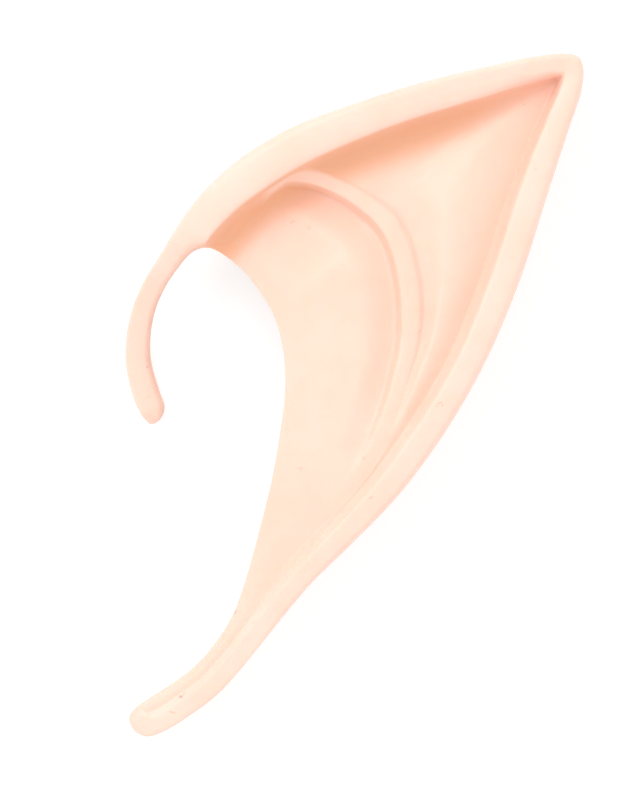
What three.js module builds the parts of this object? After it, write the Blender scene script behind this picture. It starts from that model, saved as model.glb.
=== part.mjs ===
// A slip-on elf ear: one skin of cast latex with a hook, a pointed ear and a tail.
//
// Millimetres, +Z up. The ear lies on its back with the sculpted face up. X runs from the hook
// to the point, Y from the tail's end up to the point. The origin is on the surface that the ear
// lies on, under the middle of its outline.
//
// The skin is lofted through upright sections. Each one starts on the ear's outer edge and runs
// inwards to the notch, where the skin is cut open for the wearer's own ear.
import * as THREE from "three";

// Whole ear
const EAR_HEIGHT = 107.5; // from the tail's end to the level of the point
const EAR_WIDTH = 72; // from the hook's outside to the point
const EAR_DEPTH = 20; // from the surface below to the top of the rim

// Skin and straps
const WALL = 1.3;
const HOOK_WIDTH = 4;
const TAIL_WIDTH = 5.7;
const SKIN_ROUNDING = 0.4; // rounding of the skin's cut edges
const STRAP_ROUNDING = 0.5; // rounding of the straps' inner edges

// Sculpted face
const RIM_WIDTH = 5; // outer edge to the rim's lip, where its width is 1
const LIP_LIMIT = 0.93; // the most of a section that the rim takes up
const LIP_OPEN = 0.01; // height of the lip between floor and crest, where the wall slopes open
const LIP_CRISP = 0.8; // the same where the lip is crisp
const LIP_ROUND = 0.01; // the same where the rim is round
const FOOT_WIDTH = 6.5; // how far the rim's wall runs out on the floor, where its foot is 1
const CROWN_SQUARENESS = 7; // 2 rounds the rim off as an ellipse, more makes its face flatter
const RIDGE_HEIGHT = 1.1;
const RIDGE_OUTER = 3.3; // inner edge of the ridge to its foot on the rim's side
const RIDGE_INNER = 1.1; // the same edge to its foot on the notch's side
const SCAPHA_AT = 0.34; // top of the swell beyond the ridge, between the ridge's foot and the lip
const CONCHA_AT = 0.3; // top of the swell inside the ridge, between its foot and the notch

// Back skin
const BACK_ROLL = 8; // how far in the back rounds over from the outer edge
const BACK_SETBACK = 6; // how far the back's cut edge stands behind the front's
const BACK_FLARE = 0.8; // how far that edge lifts off the surface
const FLARE_FROM = 0.4; // where the lift starts, between the roll and the cut edge

const EDGE_SHARE = 0.48; // height of the outer edge between the back and the rim's crest
const SLOT_WIDTH = 1.5; // a hollow in the rim narrower than this fills up with latex
const LINING_STEP = 0.7; // how much of the ridge's step down the lining has left behind under it

// Sections between two rows of the outline, and steps across each region of a section
const SECTIONS_PER_ROW = 3;
const STEPS = { swell: 2, foot: 4, crown: 4, roll: 4, belly: 3, liningRoll: 3, slot: 3 };

// Straps: middle line as shares of the ear's width and height, and breadth as a share of the
// strap's width. The hook's rows start at its free end, the tail's at its root.
const HOOK_ROWS = table("x y breadth", [
  [0.057, 0.4595, 0],
  [0.0585, 0.4685, 0.68],
  [0.059, 0.4815, 1],
  [0.0465, 0.5035, 1.06],
  [0.0285, 0.5585, 0.99],
  [0.039, 0.62, 0.89],
  [0.066, 0.6635, 0.84],
  [0.0945, 0.693, 0.86],
]);
const TAIL_ROWS = table("x y breadth", [
  [0.222, 0.117, 1],
  [0.1745, 0.0825, 1],
  [0.122, 0.056, 1],
  [0.0745, 0.0355, 1],
  [0.042, 0.0235, 0.9],
  [0.0255, 0.016, 0.66],
  [0.0185, 0.011, 0],
]);

// Body: where each section starts on the outer edge and ends on the notch, as shares of the
// ear's width and height.
const BODY_ROWS = table("outerX outerY notchX notchY", [
  [0.1005, 0.731, 0.1475, 0.71],
  [0.1425, 0.773, 0.1755, 0.7175],
  [0.1945, 0.813, 0.1995, 0.7135],
  [0.2695, 0.8545, 0.225, 0.703],
  [0.3735, 0.894, 0.251, 0.689],
  [0.508, 0.928, 0.2735, 0.6735],
  [0.6515, 0.958, 0.2905, 0.6585],
  [0.7925, 0.981, 0.303, 0.646],
  [0.8975, 0.996, 0.311, 0.6375],
  [0.9575, 1, 0.3155, 0.6325],
  [0.9895, 0.9955, 0.319, 0.6285],
  [1, 0.979, 0.3225, 0.624],
  [0.9965, 0.9475, 0.327, 0.6175],
  [0.9665, 0.886, 0.3335, 0.605],
  [0.917, 0.7835, 0.342, 0.5845],
  [0.8645, 0.674, 0.3495, 0.5525],
  [0.795, 0.5615, 0.3505, 0.5015],
  [0.71, 0.459, 0.3385, 0.44],
  [0.603, 0.36, 0.3205, 0.3745],
  [0.493, 0.283, 0.299, 0.316],
  [0.41, 0.2285, 0.279, 0.266],
  [0.353, 0.184, 0.2595, 0.2225],
  [0.3005, 0.14, 0.235, 0.1795],
]);

// Ridge: where its inner edge runs in plan, and its height as a share of RIDGE_HEIGHT. It comes
// out from under the rim, bends round the concha and dies away above the tail.
const RIDGE_PATH = table("x y rise", [
  [0.09408, 0.6871, 0],
  [0.1421, 0.6959, 0],
  [0.177, 0.7105, 0],
  [0.2119, 0.731, 0],
  [0.2425, 0.7515, 0],
  [0.2709, 0.7705, 0],
  [0.2993, 0.7909, 0.02],
  [0.3167, 0.8026, 0.1],
  [0.3342, 0.8099, 0.2],
  [0.356, 0.8143, 0.25],
  [0.3822, 0.814, 0.3],
  [0.404, 0.812, 0.3],
  [0.428, 0.8076, 0.3],
  [0.4499, 0.8013, 0.32],
  [0.4726, 0.7937, 0.38],
  [0.4994, 0.7823, 0.52],
  [0.5219, 0.7708, 0.7],
  [0.5442, 0.7576, 0.88],
  [0.5618, 0.7433, 1],
  [0.5773, 0.724, 1],
  [0.5887, 0.7018, 1],
  [0.5976, 0.6763, 1],
  [0.6042, 0.6465, 1],
  [0.6064, 0.6199, 0.97],
  [0.6061, 0.5906, 0.8],
  [0.6005, 0.5629, 0.55],
  [0.5917, 0.538, 0.35],
  [0.5819, 0.5117, 0.2],
  [0.5699, 0.4849, 0.11],
  [0.5553, 0.4586, 0.05],
  [0.5411, 0.4349, 0.02],
  [0.5219, 0.4094, 0],
  [0.4804, 0.3684, 0],
  [0.4106, 0.307, 0],
  [0.3407, 0.2573, 0],
]);

// Rim, at rows of the outline counted from the hook's free end: width as a share of RIM_WIDTH,
// where its crown lies between the outer edge and the lip, how crisp its lip and how round its
// inner side are, how far its wall runs out as a share of FOOT_WIDTH, how far the ridge keeps to
// its path, and the height of the crest as a share of EAR_DEPTH.
const RIM = table("row width crown crisp round foot ridge crest", [
  [0, 1, 0.5, 0, 1, 0.02, 0, 0.17],
  [3, 1, 0.5, 0, 1, 0.02, 0, 0.2],
  [5, 1, 0.5, 0, 1, 0.02, 0, 0.43],
  [7, 1, 0.5, 0.1, 0.9, 0.02, 0, 0.74],
  [8, 1, 0.5, 0.5, 0.5, 0.1, 0, 0.83],
  [9, 1.04, 0.48, 0.9, 0.1, 0.6, 0, 0.9],
  [10, 1.1, 0.46, 1, 0, 1.1, 0, 0.95],
  [11, 1.18, 0.46, 1, 0, 1.4, 0.5, 0.98],
  [12, 1.27, 0.44, 1, 0, 1.1, 1, 1],
  [13, 1.22, 0.44, 1, 0, 0.9, 1, 1],
  [14, 1.1, 0.46, 1, 0, 1, 1, 0.98],
  [15, 1.03, 0.48, 1, 0, 1, 1, 0.93],
  [17, 0.84, 0.56, 0.7, 0, 0.7, 1, 0.84],
  [18, 0.8, 0.6, 0.4, 0, 0.4, 1, 0.81],
  [19, 0.86, 0.64, 0.1, 0, 0.15, 1, 0.8],
  [20, 1, 0.67, 0, 0, 0.04, 1, 0.81],
  [21, 1.12, 0.68, 0, 0, 0.03, 1, 0.82],
  [22, 1.2, 0.68, 0, 0, 0.03, 1, 0.83],
  [23, 1.18, 0.67, 0, 0, 0.03, 1, 0.83],
  [24, 1.12, 0.65, 0, 0, 0.03, 1, 0.81],
  [25, 1.12, 0.64, 0, 0, 0.03, 1, 0.77],
  [25.5, 1.08, 0.64, 0, 0, 0.03, 1, 0.74],
  [26, 1.02, 0.64, 0, 0, 0.03, 1, 0.71],
  [27, 0.9, 0.66, 0, 0, 0.03, 0.5, 0.64],
  [28, 0.82, 0.66, 0, 0, 0.03, 0, 0.55],
  [30, 0.76, 0.62, 0, 0, 0.03, 0, 0.4],
  [33, 0.74, 0.6, 0, 0, 0.03, 0, 0.25],
  [37, 0.7, 0.6, 0, 0, 0.03, 0, 0.17],
]);

// Floor of the sculpted face, at rows of the outline: heights as shares of EAR_DEPTH at the lip
// of the rim (groove), the swell beyond the ridge (scapha), either foot of the ridge (bank, well),
// the swell inside it (concha) and the cut edge (notch).
const FLOOR = table("row groove scapha bank well concha notch", [
  [0, 0.12, 0.117, 0.115, 0.113, 0.111, 0.105],
  [3, 0.14, 0.138, 0.136, 0.134, 0.132, 0.125],
  [5, 0.375, 0.371, 0.367, 0.363, 0.358, 0.35],
  [7, 0.675, 0.67, 0.665, 0.66, 0.65, 0.63],
  [8, 0.76, 0.75, 0.74, 0.73, 0.72, 0.71],
  [9, 0.7, 0.7, 0.7, 0.7, 0.7, 0.7],
  [10, 0.61, 0.61, 0.61, 0.61, 0.615, 0.62],
  [11, 0.55, 0.55, 0.55, 0.55, 0.565, 0.58],
  [12, 0.55, 0.55, 0.56, 0.525, 0.545, 0.57],
  [12.5, 0.57, 0.59, 0.61, 0.495, 0.54, 0.56],
  [13, 0.58, 0.605, 0.635, 0.475, 0.54, 0.56],
  [14, 0.57, 0.605, 0.64, 0.46, 0.545, 0.56],
  [15, 0.56, 0.595, 0.63, 0.465, 0.555, 0.56],
  [16, 0.56, 0.595, 0.61, 0.475, 0.565, 0.56],
  [18, 0.56, 0.625, 0.605, 0.495, 0.58, 0.56],
  [20, 0.57, 0.665, 0.6, 0.51, 0.6, 0.56],
  [22, 0.59, 0.69, 0.595, 0.52, 0.61, 0.56],
  [23, 0.6, 0.69, 0.595, 0.525, 0.615, 0.56],
  [24, 0.625, 0.675, 0.61, 0.54, 0.615, 0.56],
  [25, 0.625, 0.642, 0.64, 0.59, 0.61, 0.56],
  [25.5, 0.612, 0.62, 0.618, 0.603, 0.602, 0.555],
  [26, 0.59, 0.593, 0.592, 0.59, 0.585, 0.54],
  [27, 0.54, 0.537, 0.534, 0.532, 0.525, 0.495],
  [28, 0.475, 0.47, 0.467, 0.464, 0.46, 0.44],
  [30, 0.36, 0.355, 0.35, 0.345, 0.34, 0.325],
  [33, 0.225, 0.222, 0.219, 0.216, 0.21, 0.197],
  [37, 0.15, 0.149, 0.148, 0.147, 0.146, 0.14],
]);

// Back, at rows of the outline: 1 on a solid strap and 0 where the skin is a hollow shell, height
// of the back skin as a share of EAR_DEPTH, and roll and setback as shares of BACK_ROLL and
// BACK_SETBACK.
const BACK = table("row strap height roll setback", [
  [0, 1, 0, 0.2, 0],
  [3, 1, 0.03, 0.2, 0],
  [5, 1, 0.26, 0.2, 0],
  [7, 1, 0.53, 0.2, 0],
  [8, 1, 0.5, 0.25, 0],
  [9, 1, 0.36, 0.4, 0],
  [10, 0.35, 0.2, 0.8, 0.05],
  [11, 0, 0.08, 1.2, 0.3],
  [12, 0, 0.03, 1.4, 0.6],
  [14, 0, 0, 1.7, 0.9],
  [18, 0, 0, 2.6, 1],
  [22, 0, 0, 1.7, 1],
  [26, 0, 0, 1.2, 0.9],
  [28, 0.1, 0.05, 0.8, 0.5],
  [29, 0.6, 0.15, 0.6, 0.2],
  [30, 1, 0.23, 0.4, 0],
  [33, 1, 0.09, 0.3, 0],
  [37, 1, 0, 0.3, 0],
]);

// Inner wall of the rim: height between the lip and the crest, and how far the wall stands from
// the crown towards the lip, where it slopes (open), has a crisp lip and is round.
const RIM_WALL = table("rise open crisp round", [
  [0, 1, 1, 1],
  [0.25, 0.74, 0.98, 0.972],
  [0.5, 0.59, 0.93, 0.92],
  [0.78, 0.41, 0.69, 0.77],
  [0.94, 0.25, 0.31, 0.48],
]);

// Ridge across its inner edge: distance from it, -1 at the foot on the rim's side and 1 at the
// foot on the notch's side, and height above the floor, in RIDGE_HEIGHT.
const RIDGE_PROFILE = table("across rise", [
  [-1, 0],
  [-0.84, 0.72],
  [-0.3, 1],
  [0, 0.88],
  [0.5, 0.45],
  [1, 0],
]);

/** Names the columns of a table's rows. */
function table(names, rows) {
  const columns = names.trim().split(/\s+/);
  return rows.map((row) => Object.fromEntries(columns.map((name, i) => [name, row[i]])));
}

const mix = THREE.MathUtils.lerp;
const clamp = THREE.MathUtils.clamp;

/** Shares of a stretch in equal steps, both ends left out. */
function between(steps) {
  return Array.from({ length: steps - 1 }, (_, i) => (i + 1) / steps);
}

/** A column of a table at any place between its rows, smooth and with no overshoot. */
function along(rows, key, column, at) {
  const last = rows.length - 2;
  const i = clamp(rows.findIndex((row) => row[key] > at) - 1, 0, last);
  const k = at >= rows[last + 1][key] ? last : i;
  const slope = (j) => {
    const rise = rows[j + 1][column] - rows[j][column];
    return rise / (rows[j + 1][key] - rows[j][key]);
  };
  const tangent = (j) => {
    if (j === 0 || j === rows.length - 1) return slope(Math.min(j, last));
    const [a, b] = [slope(j - 1), slope(j)];
    return a * b <= 0 ? 0 : (2 * a * b) / (a + b);
  };
  const span = rows[k + 1][key] - rows[k][key];
  const t = clamp((at - rows[k][key]) / span, 0, 1);
  const [t2, t3] = [t * t, t * t * t];
  const start = rows[k][column] * (2 * t3 - 3 * t2 + 1) + rows[k + 1][column] * (3 * t2 - 2 * t3);
  return start + span * (tangent(k) * (t3 - 2 * t2 + t) + tangent(k + 1) * (t3 - t2));
}

/** A point of the plan from its shares of the ear's width and height. */
function place(x, y) {
  return new THREE.Vector3(x * EAR_WIDTH, y * EAR_HEIGHT, 0);
}

/** Both edges of a strap from its middle line. Its outer edge lies to the left of the line. */
function strapEdges(rows, width) {
  const middle = rows.map((row) => place(row.x, row.y));
  return rows.map((row, i) => {
    const before = middle[Math.max(i - 1, 0)];
    const after = middle[Math.min(i + 1, rows.length - 1)];
    const run = after.clone().sub(before).normalize();
    const across = new THREE.Vector3(-run.y, run.x, 0).multiplyScalar((row.breadth * width) / 2);
    return {
      outer: middle[i].clone().add(across),
      notch: middle[i].clone().sub(across),
    };
  });
}

/** The rows of the whole outline, from the hook's end round the point to the tail's end. */
function outlineRows() {
  const body = BODY_ROWS.map((row) => ({
    outer: place(row.outerX, row.outerY),
    notch: place(row.notchX, row.notchY),
  }));
  return [...strapEdges(HOOK_ROWS, HOOK_WIDTH), ...body, ...strapEdges(TAIL_ROWS, TAIL_WIDTH)];
}

const ROWS = outlineRows();
const LAST_ROW = ROWS.length - 1;
const OUTLINE = new THREE.CatmullRomCurve3(
  [...ROWS.map((row) => row.outer), ...ROWS.slice(1, -1).reverse().map((row) => row.notch)],
  true,
  "centripetal",
);

/** A point of the outer edge, at a row or between two. */
function outerPoint(row) {
  return OUTLINE.getPoint(row / (2 * LAST_ROW));
}

/** A point of the notch edge, at a row or between two. */
function notchPoint(row) {
  return OUTLINE.getPoint(1 - row / (2 * LAST_ROW));
}

const OUTER_EDGE = Array.from({ length: LAST_ROW * 8 + 1 }, (_, i) => outerPoint(i / 8));

const RIDGE_PATH_ROWS = RIDGE_PATH.map((point, row) => ({ ...point, row }));
const RIDGE_STEPS = (RIDGE_PATH.length - 1) * 8;
const RIDGE_CURVE = new THREE.CatmullRomCurve3(RIDGE_PATH.map(({ x, y }) => place(x, y)));
const RIDGE_LINE = Array.from({ length: RIDGE_STEPS + 1 }, (_, i) => {
  return RIDGE_CURVE.getPoint(i / RIDGE_STEPS);
});

/** How far along a section a point lies the given depth inside the outer edge. */
function depthAlong(start, inward, depth, limit) {
  let [low, high] = [0, limit];
  const point = new THREE.Vector3();
  for (let i = 0; i < 24; i++) {
    const middle = (low + high) / 2;
    point.copy(start).addScaledVector(inward, middle);
    const near = Math.min(...OUTER_EDGE.map((edge) => edge.distanceTo(point)));
    if (near < depth) low = middle;
    else high = middle;
  }
  return (low + high) / 2;
}

/** The smaller of two lengths, with a soft change from one to the other. */
function softMin(a, b) {
  return (a ** -4 + b ** -4) ** -0.25;
}

/** Where a section crosses the ridge's path, the ridge's rise there and how aslant it is met. */
function ridgeCrossing(start, inward, reach) {
  const across = new THREE.Vector3(-inward.y, inward.x, 0);
  const sides = RIDGE_LINE.map((place) => place.clone().sub(start).dot(across));
  const depths = RIDGE_LINE.map((place) => place.clone().sub(start).dot(inward));
  for (let i = 0; i < RIDGE_LINE.length - 1; i++) {
    if (sides[i] * sides[i + 1] > 0) continue;
    const k = sides[i] / (sides[i] - sides[i + 1]);
    const depth = mix(depths[i], depths[i + 1], k);
    if (depth <= 0 || depth >= reach) continue;
    const at = ((i + k) / RIDGE_STEPS) * (RIDGE_PATH.length - 1);
    const run = Math.hypot(sides[i + 1] - sides[i], depths[i + 1] - depths[i]);
    const slant = clamp(run / Math.abs(sides[i + 1] - sides[i]), 1, 2);
    return { depth, slant, rise: along(RIDGE_PATH_ROWS, "row", "rise", at) };
  }
  return { depth: reach / 2, slant: 1, rise: 0 };
}

/** One section's sizes in millimetres, at a place along the outline counted in rows. */
function sectionSizes(row) {
  const start = outerPoint(row);
  const end = notchPoint(row);
  const reach = start.distanceTo(end);
  const inward = end.sub(start).normalize();
  const rim = (column) => along(RIM, "row", column, row);
  const rear = (column) => along(BACK, "row", column, row);
  const strap = rear("strap");

  // A strap rounds off at its free end.
  const crest = rim("crest") * EAR_DEPTH;
  const back = rear("height") * EAR_DEPTH;
  const strapWidth = row < LAST_ROW / 2 ? HOOK_WIDTH : TAIL_WIDTH;
  const fullness = clamp(reach / strapWidth, 0, 1);
  const middle = (crest + back) / 2;
  const rounded = (z) => mix(middle, z, fullness);

  const rimWidth = rim("width") * RIM_WIDTH;
  const lip = depthAlong(start, inward, rimWidth, LIP_LIMIT * reach);
  const slant = Math.max(lip / rimWidth, 1);
  const crisp = rim("crisp");
  const round = rim("round");
  const cut = Math.min(mix(SKIN_ROUNDING, STRAP_ROUNDING, strap), 0.45 * (reach - lip)) * fullness;
  const floorEnd = reach - cut;

  // The ridge keeps inside the floor, between the rim's lip and the cut edge.
  const crossing = ridgeCrossing(start, inward, reach);
  const wanted = mix(mix(lip, floorEnd, 0.5), crossing.depth, rim("ridge"));
  const ridge = clamp(wanted, mix(lip, floorEnd, 0.08), mix(lip, floorEnd, 0.75));
  const band = RIDGE_OUTER * mix(0.6, 1, crossing.rise) * crossing.slant;
  const outerFoot = ridge - softMin(band, 0.85 * (ridge - lip));
  const innerFoot = ridge + softMin(RIDGE_INNER * crossing.slant, 0.5 * (floorEnd - ridge));
  const floor = [
    { at: lip, column: "groove" },
    { at: mix(outerFoot, lip, SCAPHA_AT), column: "scapha" },
    { at: outerFoot, column: "bank" },
    { at: ridge, column: "bank" },
    { at: innerFoot, column: "well" },
    { at: mix(innerFoot, floorEnd, CONCHA_AT), column: "concha" },
    { at: reach, column: "notch" },
  ].map(({ at, column }) => {
    return { at, z: rounded(along(FLOOR, "row", column, row) * EAR_DEPTH) };
  });
  const [groove, , , bank, well] = floor;
  const lipRise = mix(mix(LIP_OPEN, LIP_CRISP, crisp), LIP_ROUND, round);

  const mouth = reach - rear("setback") * BACK_SETBACK;
  return {
    start,
    inward,
    reach,
    strap,
    cut,
    lip,
    slant,
    crown: rim("crown") * lip,
    crisp,
    round,
    lipRise,
    lipHeight: mix(groove.z, rounded(crest), lipRise),
    footWidth: rim("foot") * FOOT_WIDTH * slant,
    ridge,
    outerFoot,
    innerFoot,
    floor,
    liningFloor: floor.with(3, { at: ridge, z: mix(bank.z, well.z, LINING_STEP) }),
    mouth,
    roll: Math.min(rear("roll") * BACK_ROLL, 0.7 * mouth),
    ridgeHeight: crossing.rise * RIDGE_HEIGHT,
    wall: Math.min(WALL, 0.4 * (crest - back)) * fullness,
    crest: rounded(crest),
    back: rounded(back),
    edge: rounded(mix(back, crest, EDGE_SHARE)),
  };
}

/** How much of the rim's height is left past its lip, where a quarter circle runs it out. */
function rimShare(s, t) {
  const left = 1 - clamp((t - s.lip) / s.footWidth, 0, 1);
  return s.lipRise * (1 - Math.sqrt(1 - left * left));
}

/** Height of the sculpted face on a section, with its ridge and the rim's foot. */
function faceHeight(s, t) {
  const half = t < s.ridge ? s.ridge - s.outerFoot : s.innerFoot - s.ridge;
  const across = (t - s.ridge) / half;
  const rise = Math.abs(across) >= 1 ? 0 : along(RIDGE_PROFILE, "across", "rise", across);
  return mix(along(s.floor, "at", "z", t) + s.ridgeHeight * rise, s.crest, rimShare(s, t));
}

/** Height of the back skin's outside on a section. */
function backHeight(s, t) {
  const at = (t - s.roll) / (s.mouth - s.roll);
  const lift = clamp((at - FLARE_FROM) / (1 - FLARE_FROM), 0, 1) ** 2;
  return s.back + BACK_FLARE * (1 - s.strap) * lift;
}

/** The outside of a section, from the front's cut edge over the rim to the back's cut edge. */
function outsideOf(s) {
  const top = s.reach - s.cut;
  const [, scapha, , , , concha] = s.floor;
  const face = (t) => [t, faceHeight(s, t)];
  const points = [[s.reach, faceHeight(s, s.reach) - s.cut], face(top)];
  for (const k of [...between(STEPS.swell), 1]) points.push(face(mix(top, concha.at, k)));
  for (const k of between(STEPS.swell)) points.push(face(mix(concha.at, s.innerFoot, k)));
  for (const { across } of [...RIDGE_PROFILE].reverse()) {
    const foot = across < 0 ? s.outerFoot : s.innerFoot;
    points.push(face(mix(s.ridge, foot, Math.abs(across))));
  }
  for (const k of [...between(STEPS.swell), 1]) points.push(face(mix(s.outerFoot, scapha.at, k)));
  for (const k of between(STEPS.foot)) {
    points.push(face(mix(scapha.at, s.lip, Math.sin((k * Math.PI) / 2))));
  }
  for (const { rise, open, crisp, round } of RIM_WALL) {
    const stand = mix(mix(open, crisp, s.crisp), round, s.round);
    points.push([mix(s.crown, s.lip, stand), mix(s.lipHeight, s.crest, rise)]);
  }
  // The crown is a squared-off quarter of an ellipse above the outer edge, the roll one below it.
  const square = 2 / CROWN_SQUARENESS;
  for (const k of [0, ...between(STEPS.crown), 1]) {
    const angle = ((1 - k) * Math.PI) / 2;
    const t = s.crown * (1 - Math.cos(angle) ** square);
    points.push([t, mix(s.edge, s.crest, Math.sin(angle) ** square)]);
  }
  for (const k of [...between(STEPS.roll), 1]) {
    const angle = (k * Math.PI) / 2;
    points.push([s.roll * (1 - Math.cos(angle)), mix(s.edge, s.back, Math.sin(angle))]);
  }
  for (const k of [...between(STEPS.belly), 1]) {
    const t = mix(s.roll, s.mouth - s.cut, k);
    points.push([t, backHeight(s, t)]);
  }
  points.push([s.mouth, backHeight(s, s.mouth) + s.cut]);
  return points;
}

/** The pocket's side of a section, from the back's cut edge round inside the rim to the front's. */
function liningOf(s) {
  const skin = s.wall * s.slant; // a skin met at a slant is longer along the section
  const outermost = Math.min(skin, 0.3 * s.lip);
  const innerWall = mix(s.crown, s.lip, mix(0.5, 1, s.crisp)) - skin;
  const innermost = Math.max(innerWall, outermost * 1.3);
  const opened = clamp((innermost - outermost) / s.slant / SLOT_WIDTH, 0, 1);
  const slotShare = opened * clamp(1 - 2 * s.strap, 0, 1);
  const groove = s.floor[0].z - s.wall;
  const ceiling = mix(groove, s.lipHeight - s.wall, slotShare);
  const slotTop = mix(ceiling, s.crest - 1.5 * s.wall, slotShare);
  const lining = (t) => {
    const share = rimShare(s, t + skin) * slotShare;
    return [t, mix(along(s.liningFloor, "at", "z", t), s.crest, share) - s.wall];
  };
  const rounding = Math.min(s.cut, 0.4 * s.wall);
  const points = [
    [s.mouth, backHeight(s, s.mouth) + s.wall - rounding],
    [s.mouth - s.cut, backHeight(s, s.mouth) + s.wall],
  ];
  for (const k of [...between(STEPS.belly), 1]) {
    const t = mix(s.mouth - s.cut, s.roll, k);
    points.push([t, backHeight(s, t) + s.wall]);
  }
  for (const k of [...between(STEPS.liningRoll), 1]) {
    const angle = ((1 - k) * Math.PI) / 2;
    const t = outermost + (s.roll - outermost) * (1 - Math.cos(angle));
    points.push([t, mix(Math.min(s.edge, groove), s.back + s.wall, Math.sin(angle))]);
  }
  for (const k of [...between(STEPS.slot), 1]) {
    const angle = k * Math.PI;
    const t = mix(outermost, innermost, (1 - Math.cos(angle)) / 2);
    const low = mix(Math.min(s.edge, groove), ceiling, k);
    points.push([t, mix(low, slotTop, Math.sin(angle))]);
  }
  const scapha = s.floor[1];
  for (const k of between(STEPS.foot - 1)) {
    points.push(lining(mix(innermost, scapha.at, 1 - Math.cos((k * Math.PI) / 2))));
  }
  for (const { at } of s.floor.slice(1)) points.push(lining(Math.min(at, s.reach - s.cut)));
  points.push([s.reach, lining(s.reach)[1] + rounding]);
  return points;
}

/** One closed section in space. On a strap the pocket closes up into a plain inner side. */
function sectionLoop(row) {
  const s = sectionSizes(row);
  const outside = outsideOf(s);
  const lining = liningOf(s);
  const [from, to] = [outside.at(-1), outside[0]];
  const side = lining.map(([t, z], i) => {
    const k = (i + 1) / (lining.length + 1);
    return [mix(t, mix(from[0], to[0], k), s.strap), mix(z, mix(from[1], to[1], k), s.strap)];
  });
  return [...outside, ...side].map(([t, z]) => {
    const point = s.start.clone().addScaledVector(s.inward, t);
    return point.setZ(z);
  });
}

/** The whole skin: a ring for each section and a pole at each strap's free end. */
function earGeometry() {
  const count = LAST_ROW * SECTIONS_PER_ROW;
  const rings = Array.from({ length: count - 1 }, (_, i) => sectionLoop((i + 1) / SECTIONS_PER_ROW));
  const poles = [0, LAST_ROW].map((row) => {
    const s = sectionSizes(row);
    return s.start.clone().setZ((s.crest + s.back) / 2);
  });
  const size = rings[0].length;
  const corners = [...rings.flat(), ...poles];
  const [hookPole, tailPole] = [corners.length - 2, corners.length - 1];
  const faces = [];
  for (let i = 0; i < size; i++) {
    const next = (i + 1) % size;
    for (let ring = 0; ring < rings.length - 1; ring++) {
      const [a, b] = [ring * size, (ring + 1) * size];
      faces.push(a + i, b + i, b + next, a + i, b + next, a + next);
    }
    const end = (rings.length - 1) * size;
    faces.push(hookPole, i, next);
    faces.push(tailPole, end + next, end + i);
  }
  const geometry = new THREE.BufferGeometry().setFromPoints(corners);
  geometry.setIndex(faces);
  geometry.computeBoundingBox();
  const centre = geometry.boundingBox.getCenter(new THREE.Vector3());
  geometry.translate(-centre.x, -centre.y, -geometry.boundingBox.min.z);
  geometry.computeVertexNormals();
  return geometry;
}

const latex = new THREE.MeshStandardMaterial({ color: 0xfbdcc6, roughness: 0.55, metalness: 0 });
const ear = new THREE.Group();
const shell = new THREE.Mesh(earGeometry(), latex);
shell.name = "ear_shell";
ear.add(shell);

export default ear;
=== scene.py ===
"""Looks of a slip-on elf ear in cast latex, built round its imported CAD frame.

Shapes are worked out in millimetres, as in the CAD, and put into the mesh in metres.
"""

import logging
import math
from collections.abc import Sequence
from dataclasses import dataclass
from enum import Enum
from functools import reduce

import bpy
import numpy as np
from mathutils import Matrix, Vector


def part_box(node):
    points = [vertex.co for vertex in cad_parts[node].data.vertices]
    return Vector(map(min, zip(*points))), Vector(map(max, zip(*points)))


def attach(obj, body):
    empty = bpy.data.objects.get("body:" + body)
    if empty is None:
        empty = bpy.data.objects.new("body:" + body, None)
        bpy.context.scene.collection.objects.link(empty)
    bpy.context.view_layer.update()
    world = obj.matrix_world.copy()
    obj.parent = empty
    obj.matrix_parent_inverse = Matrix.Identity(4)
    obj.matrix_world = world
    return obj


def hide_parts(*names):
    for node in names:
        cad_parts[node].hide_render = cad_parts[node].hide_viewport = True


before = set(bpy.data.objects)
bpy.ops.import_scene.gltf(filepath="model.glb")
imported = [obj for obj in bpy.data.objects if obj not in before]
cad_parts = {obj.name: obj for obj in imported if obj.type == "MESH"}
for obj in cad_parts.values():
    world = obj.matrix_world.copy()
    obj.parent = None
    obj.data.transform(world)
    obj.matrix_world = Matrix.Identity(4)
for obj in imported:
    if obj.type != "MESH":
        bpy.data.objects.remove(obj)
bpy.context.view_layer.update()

Array = np.ndarray
LOG = logging.getLogger("elf_ear")
MM = 0.001  # metres in a millimetre
TINY = 1e-9  # millimetres that are taken for none


# Curves and tables


class Table:
    """Rows of numbers with named columns."""

    def __init__(self, names: str, rows: Sequence[Sequence[float]]) -> None:
        """Keeps the rows by the names of their columns.

        Args:
            names: The columns' names, with spaces between them.
            rows: One list of numbers for each row.
        """
        self.columns = dict(zip(names.split(), np.array(rows, float).T))

    def __getitem__(self, name: str) -> Array:
        """A whole column."""
        return self.columns[name]

    def along(self, key: str, name: str, at: Array) -> Array:
        """A column's value at any place of a key column."""
        return monotone(self[key], self[name], at)

    def plan(self, sizes: "EarSizes", x: str = "x", y: str = "y") -> Array:
        """Two columns of plan shares as points in millimetres."""
        return np.stack([self[x] * sizes.width, self[y] * sizes.height], -1)


def mix(a: Array, b: Array, share: Array) -> Array:
    """The value a given share of the way from a to b."""
    return a + (b - a) * share


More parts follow.
